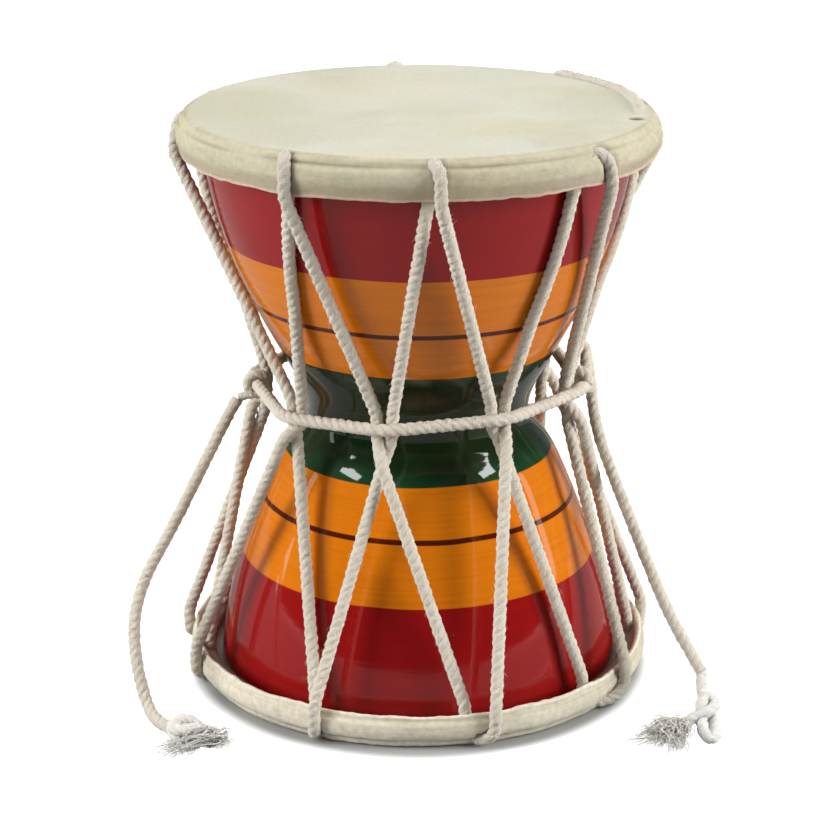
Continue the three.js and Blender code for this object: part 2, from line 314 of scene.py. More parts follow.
@dataclass(frozen=True)
class TwistedRope:
    """Soft cotton rope of three strands, laid to the right."""

    radius: float = ROPE_RADIUS
    lay: float = 6.9
    strands: int = 3
    strand_share: float = 0.77
    strand_offset: float = 0.23
    points_per_strand: int = 6
    step: float = 0.7
    swell: float = 0.045
    lumpiness: float = 0.11

    def outline(self, turn: Points) -> Points:
        """Distance from the rope's middle to its surface at angles measured from a strand."""
        spacing = FULL_TURN / self.strands
        off = (turn + spacing / 2) % spacing - spacing / 2
        side = self.strand_offset * np.sin(off)
        return self.strand_offset * np.cos(off) + np.sqrt(self.strand_share**2 - side**2)

    def sweep(self, name: str, centre: Points, seed: float, size: float = 1.0) -> Piece:
        """Lays the rope along a centreline.

        Args:
            name: the new piece's name.
            centre: points in millimetres, a step apart.
            seed: moves the rope's small unevenness and its starting turn.
            size: share of the full radius, for rope squeezed in a knot.

        Returns:
            The rope as a closed mesh with a UV map that follows its strands.
        """
        count = len(centre)
        _, across, over = frames(centre)
        along = distances(centre)
        sides = self.strands * self.points_per_strand
        local = FULL_TURN * np.arange(sides) / sides
        angle = local[None, :] + (FULL_TURN * along / self.lay + seed)[:, None]
        places = np.stack([along * 0.35, np.full(count, seed), np.zeros(count)], axis=1)
        swell = 1 + self.swell * noise_at(places, (1, 1, 1), seed)
        strand = np.arange(sides) * 0.45 + (np.arange(sides) // self.points_per_strand) * 7.3
        lumps = np.array([[noise.noise(Vector((s * 0.8, k, seed))) for k in strand] for s in along])
        radius = self.radius * size * self.outline(local)[None, :] * swell[:, None]
        radius = radius * (1 + self.lumpiness * lumps)
        ring = across[:, None, :] * np.cos(angle)[..., None] + over[:, None, :] * np.sin(angle)[..., None]
        points = centre[:, None, :] + ring * radius[..., None]
        faces, uvs = tube_faces(0, count, sides), []
        for u0, u1 in zip(along / 10, along[1:] / 10):
            for j in range(sides):
                v0, v1 = j / sides, (j + 1) / sides
                uvs += ((u0, v0), (u0, v1), (u1, v1), (u1, v0))
        first, last, end = count * sides, count * sides + 1, along[-1] / 10
        for j in range(sides):
            k = (j + 1) % sides
            faces += ((first, k, j), (last, first - sides + j, first - sides + k))
            uvs += ((0, 0.5), (0, 0), (0, 0), (end, 0.5), (end, 0), (end, 0))
        everything = np.concatenate([points.reshape(-1, 3), centre[[0, -1]]])
        return mesh_piece(name, everything, faces, uvs)


@dataclass
class LooseFibres:
    """Thin tapered hairs and yarns, such as rope fuzz and tassel strands."""

    sides: int = 4
    longest: float = 1.8
    rises: tuple = (0.1, 0.75)
    widths: tuple = (0.035, 0.06)
    taper: float = 0.75

    def fuzz(self, centre: Points, radius: float, spacing: float, seed: int) -> list:
        """Short hairs that stand off a rope at low angles.

        Args:
            centre: the rope's centreline, evenly spaced.
            radius: the rope's radius.
            spacing: mean distance along the rope between hairs.
            seed: starts the random draws.

        Returns:
            Points and root radius of each hair.
        """
        rng = np.random.default_rng(seed)
        step = float(np.linalg.norm(centre[1] - centre[0]))
        along, across, over = frames(centre)
        hairs = []
        for _ in range(int(len(centre) * step / spacing)):
            i = int(rng.integers(1, len(centre) - 1))
            angle = rng.uniform(0, FULL_TURN)
            out = across[i] * math.cos(angle) + over[i] * math.sin(angle)
            side = np.cross(along[i], out)
            lean = along[i] * rng.choice([-1.0, 1.0]) + side * rng.uniform(-0.8, 0.8)
            reach = rng.uniform(0.55, 1.0) ** 2 * self.longest
            rise = rng.uniform(*self.rises)
            root = centre[i] + out * radius * 0.8
            middle = root + lean * reach * 0.5 + out * reach * rise * 0.6
            tip = root + lean * reach + out * reach * rise + side * rng.uniform(-0.5, 0.5)
            if tip[2] > 0.1:
                hairs.append((np.array([root, middle, tip]), rng.uniform(*self.widths)))
        return hairs

    def build(self, name: str, hairs: list[tuple[Points, float]]) -> Piece:
        """Makes one piece of many hairs.

        Args:
            name: the new piece's name.
            hairs: for each hair, its points from root to tip and its radius at the root.

        Returns:
            A mesh of closed tapered tubes.
        """
        points, faces, uvs = [], [], []
        for centre, radius in hairs:
            start, rings = len(points), len(centre)
            _, across, over = frames(centre)
            for i in range(rings):
                width = radius * (1 - self.taper * (i / (rings - 1)) ** 1.5)
                for angle in FULL_TURN * np.arange(self.sides) / self.sides:
                    out = across[i] * math.cos(angle) + over[i] * math.sin(angle)
                    points.append(centre[i] + width * out)
            faces += tube_faces(start, rings, self.sides)
            for i in range(rings - 1):
                for j in range(self.sides):
                    uvs += [(i * 0.1, j / self.sides)] * 4
            faces.append(tuple(reversed(range(start, start + self.sides))))
            faces.append(tuple(range(len(points) - self.sides, len(points))))
            uvs += [(0, 0)] * (2 * self.sides)
        return mesh_piece(name, np.array(points), faces, uvs)


# Shader nodes


@dataclass
class NodeTree:
    """A short way to add and join shader nodes."""

    tree: bpy.types.NodeTree

    def feed(self, socket: Socket, value) -> None:
        """Gives an input its value: another node's socket, a number, a vector or a plain colour."""
        if isinstance(value, Socket):
            self.tree.links.new(value, socket)
        elif socket.type == "RGBA":
            socket.default_value = (*value, 1.0)
        else:
            socket.default_value = value

    def fill(self, node: bpy.types.Node, **settings) -> None:
        """Sets a node's properties, and its inputs by name with spaces as underscores."""
        for name, value in settings.items():
            if hasattr(node, name):
                setattr(node, name, value)
            else:
                self.feed(node.inputs[name.replace("_", " ")], value)

    def add(self, kind: str, **settings) -> bpy.types.Node:
        """Adds a node.

        Args:
            kind: the node's type name, without a leading ShaderNode.
            **settings: its properties and inputs, as for fill.

        Returns:
            The node.
        """
        node = self.tree.nodes.new(kind if kind.startswith("NodeGroup") else f"ShaderNode{kind}")
        self.fill(node, **settings)
        return node

    def math(self, operation: str, *values) -> Socket:
        """A maths node on sockets or plain numbers."""
        node = self.add("Math", operation=operation)
        for socket, value in zip(node.inputs, values):
            self.feed(socket, value)
        return node.outputs[0]

    def times(self, first, second) -> Socket:
        """Two values multiplied."""
        return self.math("MULTIPLY", first, second)

    def inverse(self, value) -> Socket:
        """One less a value, to turn a mask round."""
        return self.math("SUBTRACT", 1.0, value)

    def mix(self, share, first, second, blend: str = "MIX") -> Socket:
        """Mixes two colours, each a socket or a plain colour."""
        node = self.add("Mix", data_type="RGBA", blend_type=blend)
        for number, value in ((0, share), (6, first), (7, second)):
            self.feed(node.inputs[number], value)
        return node.outputs[2]

    def tint(self, colour, mask, share, paint: tuple, blend: str = "MIX") -> Socket:
        """Lays a paint over a colour where a mask lets it, at a share of its strength."""
        return self.mix(self.times(mask, share), colour, paint, blend)

    def place(self) -> Socket:
        """Where a point of the piece is, in metres."""
        return self.add("TexCoord").outputs["Object"]

    def part(self, vector, axis: str) -> Socket:
        """A vector's X, Y or Z."""
        return self.add("SeparateXYZ", Vector=vector).outputs[axis]

    def noise(self, vector, scale: float, detail=3.0, roughness=0.5) -> Socket:
        """Noise between 0 and 1 on a vector."""
        node = self.add("TexNoise", Vector=vector, Scale=scale, Detail=detail, Roughness=roughness)
        return node.outputs["Fac"]

    def stretch(self, vector, scale: tuple[float, float, float]) -> Socket:
        """A vector scaled along each axis."""
        return self.add("Mapping", Vector=vector, Scale=scale).outputs["Vector"]

    def ramp(self, value, low: float, high: float) -> Socket:
        """A smooth step from 0 at low to 1 at high."""
        node = self.add("MapRange", interpolation_type="SMOOTHSTEP", Value=value, From_Min=low, From_Max=high)
        return node.outputs["Result"]

    def bump(self, height, strength: float, distance: float) -> Socket:
        """A bump of a height in millimetres."""
        node = self.add("Bump", Strength=strength, Distance=distance * MM, Height=height)
        return node.outputs["Normal"]


def new_material(name: str) -> tuple[Material, NodeTree, bpy.types.Node]:
    """An empty material with one Principled shader.

    Args:
        name: the material's name.

    Returns:
        The material, its node tree and its shader.
    """
    material = bpy.data.materials.new(name)
    material.use_nodes = True
    nodes = NodeTree(material.node_tree)
    material.node_tree.nodes.clear()
    shader = nodes.add("BsdfPrincipled")
    nodes.add("OutputMaterial", Surface=shader.outputs[0])
    return material, nodes, shader


def mottle_group() -> bpy.types.NodeTree:
    """A shader node group: blotches and fine specks on a surface, used by every finish."""
    if "mottle" in bpy.data.node_groups:
        return bpy.data.node_groups["mottle"]
    group = bpy.data.node_groups.new("mottle", "ShaderNodeTree")
    group.interface.new_socket("Vector", in_out="INPUT", socket_type="NodeSocketVector")
    for name, way in (("Broad", "INPUT"), ("Fine", "INPUT"), ("Blotches", "OUTPUT"), ("Specks", "OUTPUT")):
        group.interface.new_socket(name, in_out=way, socket_type="NodeSocketFloat")
    nodes = NodeTree(group)
    inputs = nodes.add("NodeGroupInput").outputs
    outputs = nodes.add("NodeGroupOutput").inputs
    for scale, out, low, high in (("Broad", "Blotches", 0.35, 0.65), ("Fine", "Specks", 0.3, 0.7)):
        texture = nodes.noise(inputs["Vector"], inputs[scale], 4.0, 0.6)
        nodes.feed(outputs[out], nodes.ramp(texture, low, high))
    return group


def mottle(nodes: NodeTree, vector, broad: float, fine: float) -> tuple:
    """Places the mottle group in a material.

    Args:
        nodes: the material's node tree.
        vector: where the pattern is read.
        broad: scale of the blotches.
        fine: scale of the specks.

    Returns:
        The blotch and speck sockets.
    """
    node = nodes.add("Group", node_tree=mottle_group(), Broad=broad, Fine=fine, Vector=vector)
    return node.outputs["Blotches"], node.outputs["Specks"]


# Finishes


@dataclass(frozen=True)
class Lacquer:
    """Glossy turned lacquer in bands: colours are linear, heights in millimetres from the floor."""

    red: tuple = (0.30, 0.0045, 0.0055)
    orange: tuple = (0.71, 0.190, 0.003)
    green: tuple = (0.004, 0.022, 0.006)
    # Painted sheen: a lighter green laid near the green band's edges.
    green_edge_sheen: tuple = (0.010, 0.085, 0.030)
    line: tuple = (0.078, 0.009, 0.001)
    streak: tuple = (0.02, 0.004, 0.0)
    flush: tuple = (0.06, 0.002, 0.0)
    dust: tuple = (0.75, 0.68, 0.55)
    band_heights: tuple = (32.0, 59.9, 88.7, 116.6)
    line_heights: tuple = (47.5, 101.1)
    line_width: float = 1.2
    roughness: float = 0.32
    coat_roughness: float = 0.05

    def material(self) -> Material:
        """Builds the banded lacquer."""
        material, nodes, shader = new_material("banded_lacquer")
        place = nodes.place()
        wobble = nodes.math("MULTIPLY_ADD", nodes.noise(place, 35.0, 2.0), 0.9 * MM, -0.45 * MM)
        height = nodes.math("ADD", nodes.part(place, "Z"), wobble)
        # Painted sheen: the green band is lighter near its lower edge and, less so, near its upper edge,
        # standing in for light caught and mirrored there.
        low, high = self.band_heights[1:3]
        near_low = nodes.inverse(nodes.ramp(height, low * MM, (low + 5.5) * MM))
        near_high = nodes.ramp(height, (high - 3.5) * MM, high * MM)
        cloud = nodes.ramp(nodes.noise(place, 40.0, 3.0), 0.3, 0.7)
        edge_sheen = nodes.times(nodes.math("MAXIMUM", near_low, nodes.times(near_high, 0.35)), cloud)
        green = nodes.tint(self.green, edge_sheen, 0.9, self.green_edge_sheen)
        colour = self.red
        for edge, paint in zip(self.band_heights, (self.orange, green, self.orange, self.red)):
            above = nodes.ramp(height, (edge - 0.12) * MM, (edge + 0.12) * MM)
            colour = nodes.mix(above, colour, paint)
        streaks = nodes.noise(nodes.stretch(place, (1, 1, 40)), 28.0, 4.0, 0.6)
        blotches, specks = mottle(nodes, place, 45.0, 1400.0)
        colour = nodes.tint(colour, nodes.ramp(streaks, 0.35, 0.75), 0.12, self.streak)
        colour = nodes.tint(colour, blotches, 0.12, self.flush, "ADD")
        for middle in self.line_heights:
            away = nodes.math("ABSOLUTE", nodes.math("SUBTRACT", height, middle * MM))
            off = nodes.ramp(away, (self.line_width / 2 - 0.1) * MM, (self.line_width / 2 + 0.15) * MM)
            colour = nodes.mix(off, self.line, colour)
        flecks = nodes.add("TexVoronoi", Scale=210.0, Vector=place).outputs
        few = nodes.ramp(flecks["Color"], 0.90, 0.94)
        dust = nodes.times(few, nodes.inverse(nodes.ramp(flecks["Distance"], 0.03, 0.08)))
        colour = nodes.tint(colour, dust, 0.5, self.dust)
        ripple = nodes.noise(nodes.stretch(place, (1, 1, 14)), 60.0, 3.0, 0.5)
        nodes.fill(
            shader, Base_Color=colour, Roughness=nodes.math("MULTIPLY_ADD", specks, 0.12, self.roughness),
            Normal=nodes.bump(ripple, 0.35, 0.05), Coat_Normal=nodes.bump(ripple, 0.25, 0.05),
            Specular_IOR_Level=0.05, Coat_Weight=1.0, Coat_Roughness=self.coat_roughness, Coat_IOR=1.5,
        )
        return material


@dataclass(frozen=True)
class Rawhide:
    """Dried cream rawhide: smooth and pale over the mouth, olive and darker down the rim, with painted shade
    on the rim's lower face, in its creases, round the ropes, under it and in the hole.
    """

    name: str = "rawhide"
    skin: tuple = (0.645, 0.635, 0.52)
    rim: tuple = (0.59, 0.535, 0.375)
    # Painted shade: the dark colour of creases, wrinkle streaks, rope contact, the rim's underside and the
    # hole.
    painted_shade: tuple = (0.15, 0.13, 0.09)
    # Painted shade on the rim's lower, downward-facing face.
    lower_face_shade: tuple = (0.43, 0.33, 0.22)
    edge: tuple = (0.80, 0.52, 0.42)
    pale: tuple = (0.80, 0.79, 0.70)
    warm: tuple = (0.66, 0.57, 0.37)
    olive: tuple = (0.47, 0.46, 0.31)
    speck: tuple = (0.34, 0.31, 0.20)

    def material(self) -> Material:
        """Builds the hide from the head's attributes: the rim, the cut edge, and painted shade on the rim's
        lower face, in its creases, round the ropes, under it and in the hole.
        """
        material, nodes, shader = new_material(self.name)
        place = nodes.place()
        rim, low, painted_shade, edge = (
            nodes.add("Attribute", attribute_name=mask).outputs["Fac"]
            for mask in ("rim", "low", "painted_shade", "edge")
        )
        blotches, specks = mottle(nodes, place, 38.0, 700.0)
        cloud = nodes.ramp(nodes.noise(place, 14.0, 5.0, 0.55), 0.47, 0.62)
        warm = nodes.ramp(nodes.noise(nodes.stretch(place, (1, 1.8, 1)), 22.0, 4.0, 0.5), 0.48, 0.68)
        streak = nodes.noise(nodes.stretch(place, (1, 1, 3.5)), 150.0, 5.0, 0.65)
        colour = nodes.mix(rim, self.skin, self.rim)
        for mask, share, paint in (
            # Painted shade: the rim's lower face is darkened, more where blotches are.
            (low, nodes.math("MULTIPLY_ADD", blotches, 0.5, 0.6), self.lower_face_shade),
            (blotches, 0.20, self.pale), (warm, 0.34, self.warm), (cloud, 0.32, self.olive),
            # Painted shade in the rim's wrinkle streaks.
            (nodes.ramp(streak, 0.45, 0.72), nodes.times(rim, 0.2), self.painted_shade),
        ):
            colour = nodes.tint(colour, mask, share, paint)
        # Painted shade where the head's dark mask lies, with the cut edge laid over it.
        colour = nodes.mix(edge, nodes.mix(painted_shade, colour, self.painted_shade), self.edge)
        colour = nodes.tint(colour, specks, nodes.math("MULTIPLY_ADD", rim, 0.22, 0.06), self.speck)
        grain = nodes.math("ADD", nodes.times(specks, 0.35), nodes.times(streak, rim))
        nodes.fill(
            shader, Base_Color=colour, Roughness=nodes.math("MULTIPLY_ADD", specks, 0.2, 0.5),
            Normal=nodes.bump(grain, 0.5, 0.22), Subsurface_Weight=0.12, Subsurface_Scale=0.0015,
            Subsurface_Radius=(1.0, 0.7, 0.4),
        )
        return material


@dataclass(frozen=True)
class Cotton:
    """Undyed cotton: fine yarns along each strand, with painted shade where strands meet."""

    name: str = "cotton_rope"
    light: tuple = (1.0, 0.935, 0.79)
    # Painted shade in the valleys between strands.
    valley_shade: tuple = (0.68, 0.57, 0.42)
    soil: tuple = (0.98, 0.85, 0.65)
    patch: tuple = (0.78, 0.69, 0.55)
    rim_height_grey: tuple = (0.48, 0.43, 0.34)
    fleck: tuple = (1.0, 0.97, 0.90)
    strands: int = 3
    rim_height_share: float = 0.0
    translucency: float = 0.0
    top_rim_heights: tuple = (0.131, 0.142)
    bottom_rim_heights: tuple = (0.004, 0.016)

    def material(self) -> Material:
        """Builds the cotton, which follows the rope's UV map and is greyer at the heights of the rims."""
        material, nodes, shader = new_material(self.name)
        place = nodes.place()
        uv = nodes.add("UVMap", uv_map="rope").outputs["UV"]
        along, turn = nodes.part(uv, "X"), nodes.part(uv, "Y")
        lobe = nodes.math("FRACT", nodes.math("ADD", nodes.times(turn, float(self.strands)), 0.5))
        valley = nodes.ramp(nodes.math("ABSOLUTE", nodes.math("SUBTRACT", lobe, 0.5)), 0.30, 0.5)
        slant = nodes.math("MULTIPLY_ADD", turn, 14.0, nodes.times(along, -9.0))
        laid = nodes.add("CombineXYZ", X=slant, Y=nodes.times(along, 1.5)).outputs[0]
        yarn = nodes.noise(laid, 1.6, 4.0, 0.65)
        blotches, specks = mottle(nodes, place, 90.0, 2200.0)
        # Greyer between 131 and 142 mm up, and at half strength towards the floor, fading out by 16 mm up.
        height = nodes.part(place, "Z")
        high = nodes.ramp(height, *self.top_rim_heights)
        low = nodes.inverse(nodes.ramp(height, *self.bottom_rim_heights))
        at_rim_heights = nodes.math("MAXIMUM", high, nodes.times(low, 0.5))
        colour = nodes.mix(nodes.ramp(yarn, 0.3, 0.75), self.light, self.soil)
        for mask, share, paint in (
            (blotches, 0.3, self.patch), (at_rim_heights, self.rim_height_share, self.rim_height_grey),
            # Painted shade in the valleys between strands.
            (valley, 0.6, self.valley_shade), (specks, 0.3, self.fleck),
        ):
            colour = nodes.tint(colour, mask, share, paint)
        relief = nodes.math("ADD", yarn, nodes.times(specks, 0.8))
        nodes.fill(
            shader, Base_Color=colour, Normal=nodes.bump(relief, 0.9, 0.3), Roughness=0.92,
            Subsurface_Weight=self.translucency, Subsurface_Scale=0.002, Subsurface_Radius=(1.0, 0.95, 0.85),
            Sheen_Weight=0.35, Sheen_Roughness=0.6,
        )
        return material


# Lacing


def shell_radius(rise: float) -> float:
    """The shell's outer radius at a height above the waist, or below it when negative."""
    mouth, fullness, reach = UPPER_FLARE if rise >= 0 else LOWER_FLARE
    soft = math.hypot(abs(rise) / reach, NECK_ROUNDING) - NECK_ROUNDING
    groove = GROOVE_DEPTH * math.exp(-(((rise - GROOVE_RISE) / GROOVE_WIDTH) ** 2))
    flared = SHELL_NECK + (mouth - SHELL_NECK) * (1 - (1 - soft) ** fullness)
    return min(flared - groove, SHELL_HOOP)


@dataclass
class Lacing:
    """The one rope that ties both heads, and its route."""

    rope: TwistedRope = TwistedRope()
    inner_radius: float = 56.2
    outer_radius: float = 61.9
    waist_radius: float = 39.2
    waist_hold: float = 2.6
    cross_over: float = 43.4
    cross_under: float = 39.6
    softness: float = 1.3
    hair_spacing: float = 0.9
    sunk: tuple = (1.5, 0.4, 0.3, 1.7, 0.5, 0.0, 0.0, 1.3)
    loops: dict = field(default_factory=lambda: {End.TOP: [], End.BOTTOM: []})

    def rim_loop(self, end: End, number: int) -> list[Points]:
        """The rope over a rim, from the strand inside it to the strand outside it.

        Args:
            end: the head whose rim it goes over.
            number: the hole, counting from none.

        Returns:
            The loop's points.
        """
        inside, outside = (TOP_HOLES if end is End.TOP else BOTTOM_HOLES)[number % 8]
        sunk = self.sunk[number % 8] if end is End.TOP else 0.0
        crest = 0.7 + sunk if end is End.TOP else 1.75
        way = (
            (0.0, self.inner_radius, 9.5),
            (0.0, self.inner_radius + 0.1, crest + 2.2),
            (0.25, 57.7, crest + 0.3),
            (0.65, 60.0 - sunk / 2, crest),
            (1.0, self.outer_radius - 0.1 - sunk, crest + 2.7),
            (1.0, self.outer_radius - sunk / 2, 10.4),
        )
        points = []
        for share, radius, depth in way:
            height = HEIGHT - depth if end is End.TOP else depth
            points.append(at(inside + (outside - inside) * share, radius, height))
        return points

    def start_loop(self) -> list[Points]:
        """The first end of the rope, from its hole in the top head over the rim."""
        outside = TOP_HOLES[4][1]
        way = (
            (1.6, 57.0, 4.4), (1.2, 57.4, 3.0), (0.4, 58.9, 2.9),
            (0, self.outer_radius - 1.2, 5.4), (0, self.outer_radius, 10.4),
        )
        return [at(outside + turn, radius, HEIGHT - depth) for turn, radius, depth in way]

    def rim_run(self) -> list[Points]:
        """Up through hole five, along the rim and over it at hole six."""
        inside, outside = TOP_HOLES[4][0], TOP_HOLES[5][1]
        way = (
            (inside, 56.2, -9.5), (inside - 6, 56.2, -6.6), (inside - 13, 56.2, -4.7),
            (inside - 15.6, 55.9, -2.7), (inside - 14.2, 55.5, -0.9), (inside - 11, 55.3, -0.4),
            (inside - 3, 55.3, -0.3), (inside + 4, 55.5, -0.3), (inside + 11, 56.0, -0.3),
            (inside + 20, 56.8, -0.4), (inside + 30, 57.4, -0.5), (outside - 6, 58.0, -0.4),
            (outside - 1.8, 59.4, -0.6), (outside, 61.2, -2.2), (outside, self.outer_radius, -5.1),
            (outside, self.outer_radius, -10.4),
        )
        return [at(degrees, radius, HEIGHT + rise) for degrees, radius, rise in way]

    def end_tuck(self) -> list[Points]:
        """The last end of the rope, tucked up into hole six from below."""
        inside = TOP_HOLES[5][0]
        return [at(inside, self.inner_radius, HEIGHT - depth) for depth in (9.5, 3.4)]

    def resting(self, start: Points, finish: Points) -> list[Points]:
        """The points of a strand that rests on the shell, pushed out to lie on it."""
        found = []
        for i in range(1, 12):
            point = start + (finish - start) * i / 12
            radius = math.hypot(point[0], point[1])
            least = shell_radius(point[2] - MIDDLE) + self.rope.radius + 0.1
            if radius < least:
                found.append(np.array([point[0] * least / radius, point[1] * least / radius, point[2]]))
        return found

    def stroke(self, start: Points, number: int, down: bool, over: bool, finish: Points) -> list:
        """One stroke from an outer strand at one rim, through the waist, to the other rim.

        Args:
            start: where the last loop left off.
            number: the waist crossing, counting from one.
            down: whether the stroke goes from the top head to the bottom one.
            over: whether it crosses outside the other strand.
            finish: where the next loop begins.

        Returns:
            The points between the two loops.
        """
        degrees, belt, drop = WAIST[(number - 1) % 8]
        side = -WAIST_SPREAD if down else WAIST_SPREAD
        crossing = at(degrees, self.cross_over if over else self.cross_under, belt - drop)
        above = at(degrees + side, self.waist_radius, belt + self.waist_hold)
        below = at(degrees + side, self.waist_radius, belt - self.waist_hold)
        gather = [above, below, crossing] if down else [crossing, below, above]
        return [*self.resting(start, gather[0]), *gather, *self.resting(gather[2], finish)]

    def route(self) -> list[Points]:
        """The whole centreline, noting each loop over a rim on the way."""
        points = self.start_loop()
        self.loops[End.TOP].append(list(points))
        for first, over, last in ((5, False, self.rim_run()), (6, True, self.end_tuck())):
            for count in range(8):
                number = first + count
                down = count % 2 == 0
                end = End.BOTTOM if down else End.TOP
                loop = last if count == 7 else self.rim_loop(end, number)
                points += self.stroke(points[-1], number, down, over, loop[0])
                points += loop
                self.loops[end].append(list(loop))
        return points

    def build(self) -> Piece:
        """Lays the rope along its route."""
        centre = softened(np.array(self.route()), self.rope.step, self.softness)
        rope = self.rope.sweep("lacing_rope", centre, seed=0.7)
        hairs = LooseFibres(sides=3)
        fuzz = hairs.build("fuzz", hairs.fuzz(centre, self.rope.radius, self.hair_spacing, 5))
        return joined("lacing_rope", [rope, fuzz])


@dataclass
class Belt:
    """The rope tied round the lacing, with its knot and the left striker's hitch."""

    rope: TwistedRope = TwistedRope()
    turn_radius: float = 2.8
    knot_share: float = 0.2
    hitch_distance: float = 4.4
    tail: tuple = ((43.6, -0.2, 81.5), (43.2, 0.6, 84.2), (43.1, 1.9, 85.6), (43.3, 3.0, 84.6))

    def corners(self) -> list[Points]:
        """Two points at each waist crossing, from the fifth round to the fourth."""
        points = []
        for degrees, height, _ in WAIST[4:] + WAIST[:4]:
            for side in (-WAIST_SPREAD, WAIST_SPREAD):
                points.append(at(degrees + side, BELT_RADIUS, height))
        return points

    def turns(self, middle: Points, along: Points, start: float, turn: float, gain: float) -> list[Points]:
        """Rope wound round a straight piece of rope.

        Args:
            middle: the first point of the piece that it goes round.
            along: that piece's direction.
            start: angle where the winding starts, from outwards towards up, in degrees.
            turn: how far it goes round, in degrees.
            gain: how far it moves along in one whole turn.

        Returns:
            Points a few degrees apart.
        """
        out = unit(np.array([middle[0], middle[1], 0.0]))
        up = unit(np.cross(along, out))
        up = up if up[2] > 0 else -up
        points = []
        for i in range(25):
            angle = math.radians(start + turn * i / 24)
            shift = gain * turn / 360 * i / 24
            reach = out * math.cos(angle) + up * math.sin(angle)
            points.append(middle + along * shift + reach * self.turn_radius)
        return points

    def build(self) -> Piece:
        """Makes the belt, its knot and the hitch as one piece."""
        ring = self.corners()
        along = unit(ring[0] - ring[-1])
        knot = ring[-1] + (ring[0] - ring[-1]) * self.knot_share
        wrap = self.turns(knot - along * 2.0, along, -40, 400, 3.3)
        route = [knot - along * 1.5, *ring, *wrap, *np.array(self.tail)]
        belt = self.rope.sweep("belt", softened(np.array(route), 0.8, 1.0), seed=2.1)
        after = unit(ring[8] - ring[7])
        hitch = ring[7] + after * self.hitch_distance
        coil = self.turns(hitch - after * 0.6, after, 150, -300, -1.2)
        first, second = np.array(LEFT_CORD[:2])
        coil.append(first + (first - second) * 0.1)
        tie = self.rope.sweep("hitch", softened(np.array(coil), 0.7, 0.8), seed=5.2, size=0.76)
        return joined("belt_rope", [belt, tie])


# Strikers


@dataclass
class Striker:
    """A striker cord with its knotted, frayed end on the floor."""

    name: str
    cord_points: tuple
    knot_points: tuple
    tassel_ends: tuple
    seed: int
    rope: TwistedRope = TwistedRope()
    hair_spacing: float = 1.3
    yarn_points: int = 15
    yarn_lengths: tuple = (0.6, 1.08)
    yarn_tips: tuple = (0.25, 2.6)
    yarn_rises: tuple = (0.3, 3.8)
    yarn_widths: tuple = (0.11, 0.24)

    def cord(self) -> tuple[Piece, Points]:
        """Lays the cord along its route.

        Returns:
            The cord and its centreline in metres.
        """
        centre = softened(np.array(self.cord_points, float), 0.7, 2.0)
        name = f"striker_cord_{self.name}_rope"
        rope = self.rope.sweep(name, centre, seed=self.seed * 1.3)
        hairs = LooseFibres(sides=3)
        fuzz = hairs.build("fuzz", hairs.fuzz(centre[4:-4], self.rope.radius, self.hair_spacing, self.seed))
        return joined(name, [rope, fuzz]), centre * MM

    def tassel(self, root: Points, rng: np.random.Generator) -> list:
        """Frayed yarns that spread over the floor.

        Args:
            root: where the yarns leave the knot.
            rng: the source of their differences.

        Returns:
            Points and root radius of each yarn.
        """
        hairs = []
        for tip_x, tip_y, spread, number in self.tassel_ends:
            for _ in range(number):
                start = root + rng.normal(0, 1.0, 3)
                start[2] = max(start[2], 0.8)
                length_share = rng.uniform(*self.yarn_lengths)
                aim = np.array([tip_x, tip_y, 0.0]) + np.append(rng.normal(0, spread, 2), 0)
                end = start + (aim - start) * length_share
                end[2] = rng.uniform(*self.yarn_tips)
                rise = rng.uniform(*self.yarn_rises)
                sway = rng.normal(0, 1.4, 2)
                share = np.linspace(0, 1, self.yarn_points)[:, None]
                line = start + (end - start) * share
                line[:, 2] += rise * np.sin(math.pi * share[:, 0]) * (1 - share[:, 0] * 0.5)
                line[:, :2] += sway * np.sin(math.pi * share * 1.4)
                crimp = 0.3 * np.sin(rng.uniform(9, 20) * share + rng.uniform(0, 6))
                line += crimp * unit(rng.normal(0, 1, 3))
                line[:, 2] = np.maximum(line[:, 2], 0.2)
                hairs.append((line, rng.uniform(*self.yarn_widths)))
        return hairs

    def knot(self) -> Piece:
        """Makes the knot with its tassel as one piece."""
        route = softened(np.array([self.cord_points[-1], *self.knot_points], float), 0.6, 1.1)
        rope = self.rope.sweep("knot_rope", route, seed=self.seed * 0.9, size=0.96)
        rng = np.random.default_rng(self.seed)
        yarns = LooseFibres().build("yarns", self.tassel(route[-1], rng))
        return joined(f"striker_knot_{self.name}_rope", [rope, yarns])


# Heads


SKIN_RADII = (0, 6, 12, 18, 24, 29, 34, 38, 42, 45.5, 48.5, 51, 53, 54, 54.5, 54.9, 55.3, 55.7, 56.4)
ROLL = (
    (57.0, 0.08), (57.4, 0.3), (57.7, 0.42), (58.0, 0.42), (58.35, 0.62), (58.7, 1.05), (58.9, 1.6),
    (58.95, 2.1), (59.1, 2.4), (59.5, 2.5), (59.95, 2.85), (60.3, 3.5), (60.52, 4.2), (60.6, 5.0),
    (60.6, 5.7), (60.5, 6.5), (60.3, 7.3),
)
LIP = (
    (60.05, -1.9), (59.85, -1.2), (59.7, -0.85), (59.74, -0.55), (59.66, -0.2), (59.4, 0.0), (59.0, 0.0),
    (58.65, -0.2), (58.4, -0.6), (57.9, -1.5), (57.2, -2.4), (56.2, -3.0),
)


def share_of(values: Points, low: float, width: float) -> Points:
    """How far values have gone from low over a width, held between 0 and 1."""
    return np.clip((values - low) / width, 0, 1)


def on_hide(angle: Points, height: Points | float) -> Points:
    """Places on a cylinder as wide as the hide, where its noise is read."""
    across = (np.cos(angle) * HIDE_RADIUS, np.sin(angle) * HIDE_RADIUS)
    return np.stack([*across, np.broadcast_to(height, angle.shape)], axis=1)


